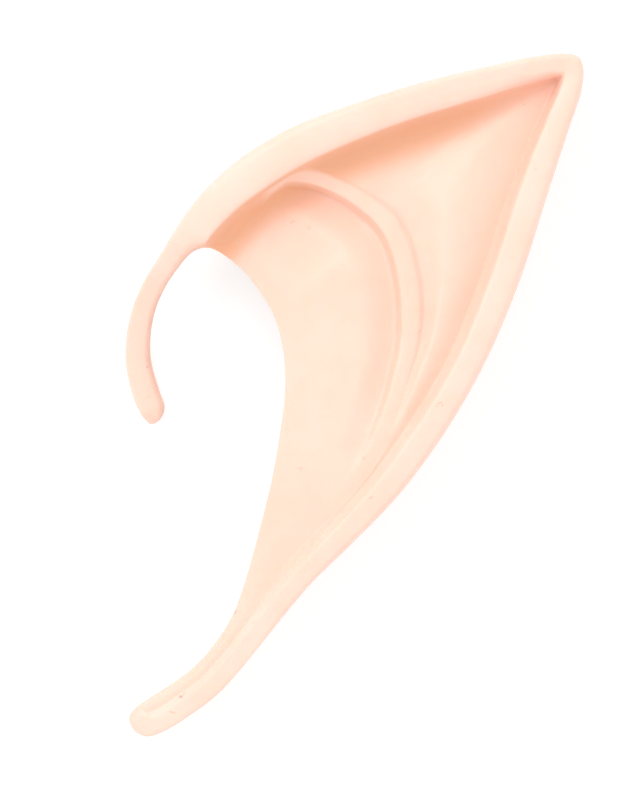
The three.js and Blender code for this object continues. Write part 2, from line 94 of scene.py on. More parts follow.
def monotone(knots: Array, values: Array, at: Array) -> Array:
    """A smooth curve through knots that doesn't overshoot them.

    Between two knots it is a cubic whose end slopes are the harmonic mean of the slopes on
    either side, or level where those have different signs, and the first or last slope at the
    ends.

    Args:
        knots: Rising places of the knots, along the last axis.
        values: Values at the knots.
        at: Places to work out, along the last axis.

    Returns:
        The curve's values at those places.
    """
    gaps = np.diff(knots)
    slopes = np.diff(values) / gaps
    before, after = slopes[..., :-1], slopes[..., 1:]
    same_way = before * after > 0
    inner = np.where(same_way, 2 * before * after / np.where(same_way, before + after, 1), 0)
    tangents = np.concatenate([slopes[..., :1], inner, slopes[..., -1:]], -1)
    passed = (at[..., None, :] >= knots[..., :, None]).sum(-2)
    low = np.clip(passed - 1, 0, knots.shape[-1] - 2)

    def pick(source: Array, index: Array) -> Array:
        """Values of the source at an index, along the last axis."""
        return np.take_along_axis(source, index, -1)

    span = pick(gaps, low)
    t = np.clip((at - pick(knots, low)) / span, 0, 1)
    start = mix(pick(values, low), pick(values, low + 1), 3 * t**2 - 2 * t**3)
    leaving = pick(tangents, low) * (t**3 - 2 * t**2 + t)
    arriving = pick(tangents, low + 1) * (t**3 - t**2)
    return start + span * (leaving + arriving)


def spline(points: Array, at: Array, closed: bool = False) -> Array:
    """A centripetal Catmull-Rom curve through points.

    Each stretch is a cubic whose end tangents come from its neighbours, weighted by the square
    root of the distances between the points.

    Args:
        points: The points, one to a row.
        at: Places along the curve, counted in points from the first one.
        closed: Whether the last point joins the first.

    Returns:
        A point for each place.
    """
    count = len(points)
    if closed:
        index = np.floor(at).astype(int)
        p0, p1, p2, p3 = (points[(index + k) % count] for k in (-1, 0, 1, 2))
    else:
        index = np.clip(np.floor(at).astype(int), 0, count - 2)
        ends = [2 * points[:1] - points[1:2], points, 2 * points[-1:] - points[-2:-1]]
        p0, p1, p2, p3 = (np.concatenate(ends)[index + k] for k in range(4))
    t = (at - index)[:, None]
    d0, d1, d2 = (
        np.sqrt(np.linalg.norm(b - a, axis=1))[:, None] for a, b in ((p0, p1), (p1, p2), (p2, p3))
    )
    leaving = ((p1 - p0) / d0 - (p2 - p0) / (d0 + d1) + (p2 - p1) / d1) * d1
    arriving = ((p2 - p1) / d1 - (p3 - p1) / (d1 + d2) + (p3 - p2) / d2) * d1
    square = -3 * p1 + 3 * p2 - 2 * leaving - arriving
    cube = 2 * p1 - 2 * p2 + leaving + arriving
    return p1 + leaving * t + square * t**2 + cube * t**3


def steps(count: int, last: bool = False) -> Array:
    """Shares of a stretch in equal steps, with or without its end."""
    return np.linspace(0, 1, count + 1)[None, : count + 1 if last else count]


def quarter(count: int, falling: bool = False, last: bool = False) -> Array:
    """Angles of a quarter turn in equal steps, rising or falling, with or without its end."""
    share = steps(count, last)
    return (1 - share if falling else share) * math.pi / 2


# The ear's shape


@dataclass(frozen=True)
class EarSizes:
    """Named sizes of the ear as the CAD has them: lengths in millimetres, and shares of lengths."""

    # The whole ear, its skin and its straps
    height: float = 107.5
    width: float = 72
    depth: float = 20
    wall: float = 1.3
    wall_limit: float = 0.4  # the most of a section's height that one wall takes up
    hook_width: float = 4
    tail_width: float = 5.7
    skin_rounding: float = 0.4
    strap_rounding: float = 0.5
    rounding_limit: float = 0.45  # the most of the floor that a cut edge's rounding takes up
    # The rim
    rim_width: float = 5
    crown_squareness: float = 7
    lip_limit: float = 0.93
    lip_open: float = 0.01
    lip_crisp: float = 0.8
    lip_round: float = 0.01
    foot_width: float = 6.5
    # The ridge and the swells of the floor on either side of it
    ridge_height: float = 1.1
    ridge_outer: float = 3.3
    ridge_inner: float = 1.1
    ridge_faint: float = 0.6  # width of its outer side where the ridge runs out
    ridge_nearest: float = 0.08  # the nearest that it comes to the lip
    ridge_farthest: float = 0.75
    bank_limit: float = 0.85  # the most of the floor that its outer side takes up
    step_limit: float = 0.5  # the same of its inner side
    slant_limit: float = 2  # the most that it widens along a section that meets it aslant
    scapha_at: float = 0.34
    concha_at: float = 0.3
    # The back
    back_roll: float = 8
    roll_limit: float = 0.7
    back_setback: float = 6
    back_flare: float = 0.8
    flare_from: float = 0.4
    edge_share: float = 0.48
    # The lining, and the slot that it leaves open inside the rim
    slot_width: float = 1.5
    slot_inner: float = 0.5  # where its inner wall stands behind an open lip, from crown to lip
    slot_outer: float = 0.3  # the most of the rim that its outer wall takes up
    slot_least: float = 1.3  # its inner wall at the least, in its outer wall's distance
    slot_roof: float = 1.5  # walls between its top and the crest
    lining_step: float = 0.7


# Middle lines of the straps, as shares of the ear's width and height, and shares of their width
HOOK_ROWS = Table("x y breadth", [
    [0.057, 0.4595, 0], [0.0585, 0.4685, 0.68], [0.059, 0.4815, 1], [0.0465, 0.5035, 1.06],
    [0.0285, 0.5585, 0.99], [0.039, 0.62, 0.89], [0.066, 0.6635, 0.84], [0.0945, 0.693, 0.86],
])
TAIL_ROWS = Table("x y breadth", [
    [0.222, 0.117, 1], [0.1745, 0.0825, 1], [0.122, 0.056, 1], [0.0745, 0.0355, 1],
    [0.042, 0.0235, 0.9], [0.0255, 0.016, 0.66], [0.0185, 0.011, 0],
])
# Where the body's sections start on the outer edge and end on the notch, in the same shares
BODY_ROWS = Table("outer_x outer_y notch_x notch_y", [
    [0.1005, 0.731, 0.1475, 0.71], [0.1425, 0.773, 0.1755, 0.7175],
    [0.1945, 0.813, 0.1995, 0.7135], [0.2695, 0.8545, 0.225, 0.703],
    [0.3735, 0.894, 0.251, 0.689], [0.508, 0.928, 0.2735, 0.6735],
    [0.6515, 0.958, 0.2905, 0.6585], [0.7925, 0.981, 0.303, 0.646],
    [0.8975, 0.996, 0.311, 0.6375], [0.9575, 1, 0.3155, 0.6325],
    [0.9895, 0.9955, 0.319, 0.6285], [1, 0.979, 0.3225, 0.624],
    [0.9965, 0.9475, 0.327, 0.6175], [0.9665, 0.886, 0.3335, 0.605],
    [0.917, 0.7835, 0.342, 0.5845], [0.8645, 0.674, 0.3495, 0.5525],
    [0.795, 0.5615, 0.3505, 0.5015], [0.71, 0.459, 0.3385, 0.44],
    [0.603, 0.36, 0.3205, 0.3745], [0.493, 0.283, 0.299, 0.316],
    [0.41, 0.2285, 0.279, 0.266], [0.353, 0.184, 0.2595, 0.2225],
    [0.3005, 0.14, 0.235, 0.1795],
])
# The ridge's inner edge in plan, and its height as a share of the full one
RIDGE_PATH = Table("x y rise", [
    [0.09408, 0.6871, 0], [0.1421, 0.6959, 0], [0.177, 0.7105, 0], [0.2119, 0.731, 0],
    [0.2425, 0.7515, 0], [0.2709, 0.7705, 0], [0.2993, 0.7909, 0.02], [0.3167, 0.8026, 0.1],
    [0.3342, 0.8099, 0.2], [0.356, 0.8143, 0.25], [0.3822, 0.814, 0.3], [0.404, 0.812, 0.3],
    [0.428, 0.8076, 0.3], [0.4499, 0.8013, 0.32], [0.4726, 0.7937, 0.38], [0.4994, 0.7823, 0.52],
    [0.5219, 0.7708, 0.7], [0.5442, 0.7576, 0.88], [0.5618, 0.7433, 1], [0.5773, 0.724, 1],
    [0.5887, 0.7018, 1], [0.5976, 0.6763, 1], [0.6042, 0.6465, 1], [0.6064, 0.6199, 0.97],
    [0.6061, 0.5906, 0.8], [0.6005, 0.5629, 0.55], [0.5917, 0.538, 0.35], [0.5819, 0.5117, 0.2],
    [0.5699, 0.4849, 0.11], [0.5553, 0.4586, 0.05], [0.5411, 0.4349, 0.02], [0.5219, 0.4094, 0],
    [0.4804, 0.3684, 0], [0.4106, 0.307, 0], [0.3407, 0.2573, 0],
])
# Rim: its width, where its crown lies, how crisp its lip and how round its inner side are, the
# width of its foot, how far the ridge keeps to its path, and its crest's share of the depth
RIM = Table("row width crown crisp round foot ridge crest", [
    [0, 1, 0.5, 0, 1, 0.02, 0, 0.17], [3, 1, 0.5, 0, 1, 0.02, 0, 0.2],
    [5, 1, 0.5, 0, 1, 0.02, 0, 0.43], [7, 1, 0.5, 0.1, 0.9, 0.02, 0, 0.74],
    [8, 1, 0.5, 0.5, 0.5, 0.1, 0, 0.83], [9, 1.04, 0.48, 0.9, 0.1, 0.6, 0, 0.9],
    [10, 1.1, 0.46, 1, 0, 1.1, 0, 0.95], [11, 1.18, 0.46, 1, 0, 1.4, 0.5, 0.98],
    [12, 1.27, 0.44, 1, 0, 1.1, 1, 1], [13, 1.22, 0.44, 1, 0, 0.9, 1, 1],
    [14, 1.1, 0.46, 1, 0, 1, 1, 0.98], [15, 1.03, 0.48, 1, 0, 1, 1, 0.93],
    [17, 0.84, 0.56, 0.7, 0, 0.7, 1, 0.84], [18, 0.8, 0.6, 0.4, 0, 0.4, 1, 0.81],
    [19, 0.86, 0.64, 0.1, 0, 0.15, 1, 0.8], [20, 1, 0.67, 0, 0, 0.04, 1, 0.81],
    [21, 1.12, 0.68, 0, 0, 0.03, 1, 0.82], [22, 1.2, 0.68, 0, 0, 0.03, 1, 0.83],
    [23, 1.18, 0.67, 0, 0, 0.03, 1, 0.83], [24, 1.12, 0.65, 0, 0, 0.03, 1, 0.81],
    [25, 1.12, 0.64, 0, 0, 0.03, 1, 0.77], [25.5, 1.08, 0.64, 0, 0, 0.03, 1, 0.74],
    [26, 1.02, 0.64, 0, 0, 0.03, 1, 0.71], [27, 0.9, 0.66, 0, 0, 0.03, 0.5, 0.64],
    [28, 0.82, 0.66, 0, 0, 0.03, 0, 0.55], [30, 0.76, 0.62, 0, 0, 0.03, 0, 0.4],
    [33, 0.74, 0.6, 0, 0, 0.03, 0, 0.25], [37, 0.7, 0.6, 0, 0, 0.03, 0, 0.17],
])
# Heights of the sculpted floor as shares of the depth, from the rim's lip to the notch
FLOOR = Table("row groove scapha bank well concha notch", [
    [0, 0.12, 0.117, 0.115, 0.113, 0.111, 0.105], [3, 0.14, 0.138, 0.136, 0.134, 0.132, 0.125],
    [5, 0.375, 0.371, 0.367, 0.363, 0.358, 0.35], [7, 0.675, 0.67, 0.665, 0.66, 0.65, 0.63],
    [8, 0.76, 0.75, 0.74, 0.73, 0.72, 0.71], [9, 0.7, 0.7, 0.7, 0.7, 0.7, 0.7],
    [10, 0.61, 0.61, 0.61, 0.61, 0.615, 0.62], [11, 0.55, 0.55, 0.55, 0.55, 0.565, 0.58],
    [12, 0.55, 0.55, 0.56, 0.525, 0.545, 0.57], [12.5, 0.57, 0.59, 0.61, 0.495, 0.54, 0.56],
    [13, 0.58, 0.605, 0.635, 0.475, 0.54, 0.56], [14, 0.57, 0.605, 0.64, 0.46, 0.545, 0.56],
    [15, 0.56, 0.595, 0.63, 0.465, 0.555, 0.56], [16, 0.56, 0.595, 0.61, 0.475, 0.565, 0.56],
    [18, 0.56, 0.625, 0.605, 0.495, 0.58, 0.56], [20, 0.57, 0.665, 0.6, 0.51, 0.6, 0.56],
    [22, 0.59, 0.69, 0.595, 0.52, 0.61, 0.56], [23, 0.6, 0.69, 0.595, 0.525, 0.615, 0.56],
    [24, 0.625, 0.675, 0.61, 0.54, 0.615, 0.56], [25, 0.625, 0.642, 0.64, 0.59, 0.61, 0.56],
    [25.5, 0.612, 0.62, 0.618, 0.603, 0.602, 0.555], [26, 0.59, 0.593, 0.592, 0.59, 0.585, 0.54],
    [27, 0.54, 0.537, 0.534, 0.532, 0.525, 0.495], [28, 0.475, 0.47, 0.467, 0.464, 0.46, 0.44],
    [30, 0.36, 0.355, 0.35, 0.345, 0.34, 0.325], [33, 0.225, 0.222, 0.219, 0.216, 0.21, 0.197],
    [37, 0.15, 0.149, 0.148, 0.147, 0.146, 0.14],
])
# Back skin: 1 where a strap is solid, its height, and its roll and setback as shares
BACK = Table("row strap height roll setback", [
    [0, 1, 0, 0.2, 0], [3, 1, 0.03, 0.2, 0], [5, 1, 0.26, 0.2, 0], [7, 1, 0.53, 0.2, 0],
    [8, 1, 0.5, 0.25, 0], [9, 1, 0.36, 0.4, 0], [10, 0.35, 0.2, 0.8, 0.05],
    [11, 0, 0.08, 1.2, 0.3], [12, 0, 0.03, 1.4, 0.6], [14, 0, 0, 1.7, 0.9],
    [18, 0, 0, 2.6, 1], [22, 0, 0, 1.7, 1], [26, 0, 0, 1.2, 0.9], [28, 0.1, 0.05, 0.8, 0.5],
    [29, 0.6, 0.15, 0.6, 0.2], [30, 1, 0.23, 0.4, 0], [33, 1, 0.09, 0.3, 0],
    [37, 1, 0, 0.3, 0],
])
# The rim's inner wall from its lip up to the crown, and where it stands between them, 1 at the
# lip, in three forms
RIM_WALL = Table("rise open crisp round", [
    [0, 1, 1, 1], [0.12, 0.85, 0.995, 0.99], [0.25, 0.74, 0.98, 0.972],
    [0.45, 0.62, 0.94, 0.93], [0.78, 0.41, 0.69, 0.77], [0.9, 0.31, 0.42, 0.6],
    [0.95, 0.24, 0.28, 0.44], [0.985, 0.13, 0.15, 0.24], [1, 0, 0, 0],
])
# The ridge across its inner edge: a flat band up to it, and a steep step down towards the notch
RIDGE_PROFILE = Table("across rise", [
    [-1, 0], [-0.94, 0.4], [-0.84, 0.72], [-0.6, 0.9], [-0.3, 1], [-0.12, 0.97], [0, 0.88],
    [0.25, 0.7], [0.5, 0.45], [0.75, 0.18], [1, 0],
])


@dataclass(frozen=True)
class Outline:
    """The ear's outline in plan, from the hook's end round the point to the tail's end."""

    sizes: EarSizes

    def strap_edges(self, rows: Table, width: float) -> tuple[Array, Array]:
        """Both edges of a strap, half its breadth to either side of its middle line.

        Args:
            rows: The strap's middle line and breadth.
            width: The strap's full width.

        Returns:
            The outer edge, to the left of the line, and the notch edge.
        """
        middle = rows.plan(self.sizes)
        padded = np.concatenate([middle[:1], middle, middle[-1:]])
        run = padded[2:] - padded[:-2]
        run /= np.linalg.norm(run, axis=1, keepdims=True)
        across = np.stack([-run[:, 1], run[:, 0]], 1) * (rows["breadth"] * width / 2)[:, None]
        return middle + across, middle - across

    def ring(self) -> Array:
        """The whole closed outline: the outer edge, then the notch edge back.

        Returns:
            Its corners, one to a row.
        """
        hook = self.strap_edges(HOOK_ROWS, self.sizes.hook_width)
        tail = self.strap_edges(TAIL_ROWS, self.sizes.tail_width)
        outer = BODY_ROWS.plan(self.sizes, "outer_x", "outer_y")
        notch = BODY_ROWS.plan(self.sizes, "notch_x", "notch_y")
        far_side = np.concatenate([hook[0], outer, tail[0]])
        near_side = np.concatenate([hook[1], notch, tail[1]])
        return np.concatenate([far_side, near_side[-2:0:-1]])

    def last_row(self) -> int:
        """The number of the outline's last row."""
        return len(self.ring()) // 2

    def outer(self, row: Array) -> Array:
        """Points of the outer edge."""
        return spline(self.ring(), row, closed=True)

    def notch(self, row: Array) -> Array:
        """Points of the notch edge."""
        return spline(self.ring(), len(self.ring()) - row, closed=True)


@dataclass(frozen=True)
class Resolution:
    """How many steps each region of a section has, and sections between two rows.

    Edge and path are the points along the outline and between two points of the ridge's path
    that distances are measured to, and halvings how often a distance is narrowed down.
    """

    sections: int = 12
    edge: int = 600
    path: int = 8
    halvings: int = 24
    cut: int = 4
    swell: int = 10
    ridge: int = 9
    foot: int = 22
    wall: int = 14
    crown: int = 20
    roll: int = 12
    belly: int = 14
    lining_roll: int = 8
    slot: int = 10
    lining_foot: int = 14
    lining_floor: int = 6


@dataclass(frozen=True)
class PaintedRimShade:
    """How the painted shade in the rim's hollow runs: a darker, warmer colour from the lip out over
    the floor, and a little on the whole floor.
    """

    width: float = 9  # millimetres from the lip to its end
    from_lip: float = 0.97  # where it starts, in the lip's distance from the outer edge
    start: float = 0.45  # how strong it starts
    gain: float = 5  # how fast it gets stronger, against its fading
    least: float = 0.1  # what the whole floor has of it
    band_clear: float = 0.95  # how far it is cleared from the ridge's band
    band_fade: float = 0.35  # the part of the band's outer side over which it is cleared
    band_onset: float = 0.125  # the ridge's rise from which its band is cleared in full


@dataclass
class EarSections:
    """Upright sections of the skin, from the outer edge in to the notch.

    Every size is an array with a row for each section, and one column.
    """

    sizes: EarSizes
    fine: Resolution
    outline: Outline
    row: Array

    def __post_init__(self) -> None:
        """Works out the sections' sizes in millimetres from the tables."""
        self.start = self.outline.outer(self.row)
        across = self.outline.notch(self.row) - self.start
        self.reach = np.linalg.norm(across, axis=1, keepdims=True)
        self.inward = across / self.reach
        rim = {n: self.column(RIM, n) for n in RIM.columns if n != "row"}
        rear = {n: self.column(BACK, n) for n in BACK.columns if n != "row"}
        self.strap, self.crisp, self.round = rear["strap"], rim["crisp"], rim["round"]
        self.set_levels(rim["crest"], rear["height"])
        self.set_rim(rim["width"], rim["crown"], rim["foot"])
        self.set_ridge(rim["ridge"])
        self.set_floor()
        self.mouth = self.reach - rear["setback"] * self.sizes.back_setback
        self.roll = np.minimum(
            rear["roll"] * self.sizes.back_roll, self.sizes.roll_limit * self.mouth
        )

    def set_levels(self, crest: Array, height: Array) -> None:
        """Heights of the rim's crest, the back and the outer edge, and the skin's thickness.

        Towards a strap's free end they close up on the middle, as the section's reach falls short
        of the strap's width.

        Args:
            crest: The crest's height as a share of the depth.
            height: The back's height as such a share.
        """
        z = self.sizes
        in_hook = self.row[:, None] < self.outline.last_row() / 2
        strap_width = np.where(in_hook, z.hook_width, z.tail_width)
        self.fullness = np.clip(self.reach / strap_width, 0, 1)
        crest, back = crest * z.depth, height * z.depth
        self.middle = (crest + back) / 2
        self.crest = mix(self.middle, crest, self.fullness)
        self.back = mix(self.middle, back, self.fullness)
        self.edge = mix(self.back, self.crest, z.edge_share)
        self.wall = np.minimum(z.wall, z.wall_limit * (crest - back)) * self.fullness

    def set_rim(self, width: Array, crown: Array, foot: Array) -> None:
        """The rim's lip, crown and foot, and how far each section runs aslant through it.

        Args:
            width: The rim's width as a share of the full one.
            crown: Where its crown lies between the outer edge and the lip.
            foot: Its foot's width as a share of the full one.
        """
        z = self.sizes
        rim_width = width * z.rim_width
        self.lip = self.depth_along(rim_width, z.lip_limit * self.reach)
        self.slant = np.maximum(self.lip / rim_width, 1)
        self.crown = crown * self.lip
        self.foot = foot * z.foot_width * self.slant
        self.lip_rise = mix(mix(z.lip_open, z.lip_crisp, self.crisp), z.lip_round, self.round)
        rounding = mix(z.skin_rounding, z.strap_rounding, self.strap)
        self.cut = np.minimum(rounding, z.rounding_limit * (self.reach - self.lip)) * self.fullness
        self.floor_end = self.reach - self.cut

    def set_ridge(self, kept: Array) -> None:
        """The ridge's inner edge, its two feet, and the tops of the swells beyond them.

        Args:
            kept: How far the ridge keeps to its path, and not to the middle of the floor.
        """
        z, end = self.sizes, self.floor_end
        crossing, slant, self.rise = self.ridge_crossing()
        wanted = mix(mix(self.lip, end, 0.5), crossing, kept)
        nearest, farthest = mix(self.lip, end, z.ridge_nearest), mix(self.lip, end, z.ridge_farthest)
        self.ridge = np.clip(wanted, nearest, farthest)
        band = z.ridge_outer * mix(z.ridge_faint, 1, self.rise) * slant
        outer = soft_min(band, z.bank_limit * (self.ridge - self.lip))
        inner = soft_min(z.ridge_inner * slant, z.step_limit * (end - self.ridge))
        self.outer_foot, self.inner_foot = self.ridge - outer, self.ridge + inner
        self.scapha = mix(self.outer_foot, self.lip, z.scapha_at)
        self.concha = mix(self.inner_foot, end, z.concha_at)

    def set_floor(self) -> None:
        """The floor's knots, their heights, those of the lining under them, and the lip's height."""
        self.knots = np.concatenate([
            self.lip, self.scapha, self.outer_foot, self.ridge, self.inner_foot, self.concha,
            self.reach,
        ], 1)
        groove, scapha, bank, well, concha, notch = (
            mix(self.middle, self.column(FLOOR, name) * self.sizes.depth, self.fullness)
            for name in ("groove", "scapha", "bank", "well", "concha", "notch")
        )
        under = mix(bank, well, self.sizes.lining_step)
        self.heights = np.concatenate([groove, scapha, bank, bank, well, concha, notch], 1)
        self.lining_heights = np.concatenate([groove, scapha, bank, under, well, concha, notch], 1)
        self.groove = groove
        self.lip_height = mix(groove, self.crest, self.lip_rise)

    def column(self, table: Table, name: str) -> Array:
        """A column of a table at each section."""
        return table.along("row", name, self.row)[:, None]

    def depth_along(self, depth: Array, limit: Array) -> Array:
        """How far along each section a point lies a given depth inside the outer edge.

        The place is narrowed down by halves, by the nearest of many points of the edge.

        Args:
            depth: The depth wanted.
            limit: How far along the section the point may lie.

        Returns:
            The distances along the sections.
        """
        edge = self.outline.outer(np.linspace(0, self.outline.last_row(), self.fine.edge))
        low, high = np.zeros_like(limit), limit.copy()
        for _ in range(self.fine.halvings):
            middle = (low + high) / 2
            place = self.start + self.inward * middle
            near = np.linalg.norm(place[:, None] - edge[None], axis=2).min(1, keepdims=True)
            inside = near < depth
            low, high = np.where(inside, middle, low), np.where(inside, high, middle)
        return (low + high) / 2

    def wall_stand(self, open_wall: Array, crisp: Array, rounded: Array) -> Array:
        """Distances along the sections of points of the rim's wall, by their place in each form."""
        place = mix(mix(open_wall, crisp, self.crisp), rounded, self.round)
        return mix(self.crown, self.lip, place)

    def rim_share(self, t: Array) -> Array:
        """How much of the rim's height is left past its lip, where a quarter circle runs it out."""
        left = 1 - np.clip((t - self.lip) / self.foot, 0, 1)
        return self.lip_rise * (1 - np.sqrt(1 - left**2))

    def ridge_crossing(self) -> tuple[Array, Array, Array]:
        """Where each section first crosses the ridge's inner edge.

        The edge's points are measured along each section and to its side, and the crossing is
        where that side changes sign.

        Returns:
            The crossing's depth, how aslant the edge is met, and the ridge's rise there.
        """
        last, per_point = len(RIDGE_PATH["x"]) - 1, self.fine.path
        line = spline(RIDGE_PATH.plan(self.sizes), np.linspace(0, last, last * per_point + 1))
        away = line[None] - self.start[:, None]
        across = np.stack([-self.inward[:, 1], self.inward[:, 0]], 1)
        sides = (away * across[:, None]).sum(2)
        depths = (away * self.inward[:, None]).sum(2)
        side_step, depth_step = np.diff(sides), np.diff(depths)
        safe = np.where(np.abs(side_step) > TINY, side_step, TINY)
        share = -sides[:, :-1] / safe
        depth = depths[:, :-1] + depth_step * share
        met = (sides[:, :-1] * sides[:, 1:] <= 0) & (depth > 0) & (depth < self.reach)
        first, found = met.argmax(1)[:, None], met.any(1)[:, None]
        place = (first + np.take_along_axis(share, first, 1)) / per_point
        slants = np.hypot(side_step, depth_step) / np.abs(safe)
        slants = np.clip(slants, 1, self.sizes.slant_limit)
        rises = monotone(np.arange(last + 1.0), RIDGE_PATH["rise"], place[:, 0])[:, None]
        return (
            np.where(found, np.take_along_axis(depth, first, 1), self.reach / 2),
            np.where(found, np.take_along_axis(slants, first, 1), 1),
            np.where(found, rises, 0),
        )

    def on_band(self, t: Array, fade: float, onset: float) -> Array:
        """How far a point is on the ridge's band: 1 on it, fading to 0 at its feet.

        Args:
            t: Distances along the sections.
            fade: The part of the band's outer side over which it fades.
            onset: The ridge's rise from which it counts in full.

        Returns:
            A share from 0 to 1.
        """
        outer = (t - self.outer_foot) / (fade * (self.ridge - self.outer_foot))
        inner = (self.inner_foot - t) / (self.inner_foot - self.ridge)
        return np.clip(np.minimum(outer, inner), 0, 1) * np.clip(self.rise / onset, 0, 1)

    def floor_height(self, t: Array) -> Array:
        """Height of the sculpted floor without its ridge, through its named knots."""
        return monotone(self.knots, self.heights, t)

    def face_height(self, t: Array) -> Array:
        """Height of the sculpted face: the floor, the ridge's profile on it and the rim's foot.

        Args:
            t: Distances along the sections.

        Returns:
            The heights there.
        """
        outer, inner = self.ridge - self.outer_foot, self.inner_foot - self.ridge
        across = np.clip((t - self.ridge) / np.where(t < self.ridge, outer, inner), -1, 1)
        profile = RIDGE_PROFILE.along("across", "rise", across.ravel()).reshape(across.shape)
        ridge = self.rise * self.sizes.ridge_height * profile
        return mix(self.floor_height(t) + ridge, self.crest, self.rim_share(t))

    def back_height(self, t: Array) -> Array:
        """Height of the back skin, which lifts by a square towards its cut edge.

        Args:
            t: Distances along the sections.

        Returns:
            The heights there.
        """
        at = (t - self.roll) / (self.mouth - self.roll)
        lift = np.clip((at - self.sizes.flare_from) / (1 - self.sizes.flare_from), 0, 1) ** 2
        return self.back + self.sizes.back_flare * (1 - self.strap) * lift

    def outside(self) -> tuple[Array, Array]:
        """The skin's outside on each section, from the front's cut edge to the back's.

        A quarter circle rounds each cut edge. The floor runs through its knots and up the rim's
        wall, the crown is a quarter of a squared-off ellipse and the roll one of an ellipse.

        Returns:
            Distances along the sections and heights.
        """
        fine, top = self.fine, self.floor_end
        parts = []
        turn = quarter(fine.cut)
        low, high = self.face_height(self.reach) - self.cut, self.face_height(top)
        parts.append((top + self.cut * np.cos(turn), mix(low, high, np.sin(turn))))
        knots = [top, self.concha, self.inner_foot, self.ridge, self.outer_foot, self.scapha]
        counts = [fine.swell, fine.swell, fine.ridge, fine.ridge, fine.swell]
        for a, b, count in zip(knots, knots[1:], counts):
            t = mix(a, b, steps(count))
            parts.append((t, self.face_height(t)))
        t = mix(self.scapha, self.lip, np.sin(quarter(fine.foot)))
        parts.append((t, self.face_height(t)))
        rows = np.stack([RIM_WALL[n] for n in ("rise", "open", "crisp", "round")], 1)
        wall = spline(rows, np.linspace(0, len(rows) - 1, fine.wall + 1)[:-1]).T[:, None]
        parts.append((self.wall_stand(*wall[1:]), mix(self.lip_height, self.crest, wall[0])))
        angle = quarter(fine.crown, falling=True)
        square = 2 / self.sizes.crown_squareness
        parts.append((
            self.crown * (1 - np.cos(angle) ** square),
            mix(self.edge, self.crest, np.sin(angle) ** square),
        ))
        angle = quarter(fine.roll)
        parts.append((self.roll * (1 - np.cos(angle)), mix(self.edge, self.back, np.sin(angle))))
        t = mix(self.roll, self.mouth - self.cut, steps(fine.belly))
        parts.append((t, self.back_height(t)))
        turn = quarter(fine.cut, last=True)
        low = self.back_height(self.mouth - self.cut)
        high = self.back_height(self.mouth) + self.cut
        parts.append((self.mouth - self.cut * (1 - np.sin(turn)), mix(low, high, 1 - np.cos(turn))))
        return joined(parts)

    def lining(self) -> tuple[Array, Array]:
        """The pocket's side of each section, from the back's cut edge to the front's.

        It lies a wall's thickness inside the back, the roll and the floor, and a slot rises from
        it into the rim, unless it would be too narrow or lies in a strap.

        Returns:
            Distances along the sections and heights.
        """
        z, fine = self.sizes, self.fine
        skin = self.wall * self.slant
        outermost = np.minimum(skin, z.slot_outer * self.lip)
        inner_wall = mix(self.crown, self.lip, mix(z.slot_inner, 1, self.crisp)) - skin
        innermost = np.maximum(inner_wall, outermost * z.slot_least)
        open_slot = np.clip((innermost - outermost) / self.slant / z.slot_width, 0, 1)
        slot_share = open_slot * np.clip(1 - 2 * self.strap, 0, 1)
        groove = self.groove - self.wall
        ceiling = mix(groove, self.lip_height - self.wall, slot_share)
        slot_top = mix(ceiling, self.crest - z.slot_roof * self.wall, slot_share)
        rounding = np.minimum(self.cut, z.wall_limit * self.wall)
        parts = []
        turn = quarter(fine.cut)
        low = self.back_height(self.mouth) + self.wall - rounding
        high = self.back_height(self.mouth - self.cut) + self.wall
        parts.append((self.mouth - self.cut * (1 - np.cos(turn)), mix(low, high, np.sin(turn))))
        t = mix(self.mouth - self.cut, self.roll, steps(fine.belly))
        parts.append((t, self.back_height(t) + self.wall))
        low = np.minimum(self.edge, groove)
        angle = quarter(fine.lining_roll, falling=True)
        t = outermost + (self.roll - outermost) * (1 - np.cos(angle))
        parts.append((t, mix(low, self.back + self.wall, np.sin(angle))))
        share = steps(fine.slot)
        t = mix(outermost, innermost, (1 - np.cos(share * math.pi)) / 2)
        parts.append((t, mix(mix(low, ceiling, share), slot_top, np.sin(share * math.pi))))

        def height(t: Array) -> Array:
            """Height of the lining under the floor and the rim's foot.

            Args:
                t: Distances along the sections.

            Returns:
                The heights there.
            """
            share = self.rim_share(t + skin) * slot_share
            floor = monotone(self.knots, self.lining_heights, t)
            return mix(floor, self.crest, share) - self.wall

        t = mix(innermost, self.scapha, 1 - np.cos(quarter(fine.lining_foot)))
        parts.append((t, height(t)))
        end = self.floor_end
        knots = [self.scapha, self.outer_foot, self.ridge, self.inner_foot, self.concha, end]
        for a, b in zip(knots, knots[1:]):
            t = mix(a, b, steps(fine.lining_floor))
            parts.append((t, height(t)))
        turn = quarter(fine.cut, last=True)
        low, high = height(end), height(self.reach) + rounding
        parts.append((end + self.cut * np.sin(turn), mix(low, high, 1 - np.cos(turn))))
        return joined(parts)

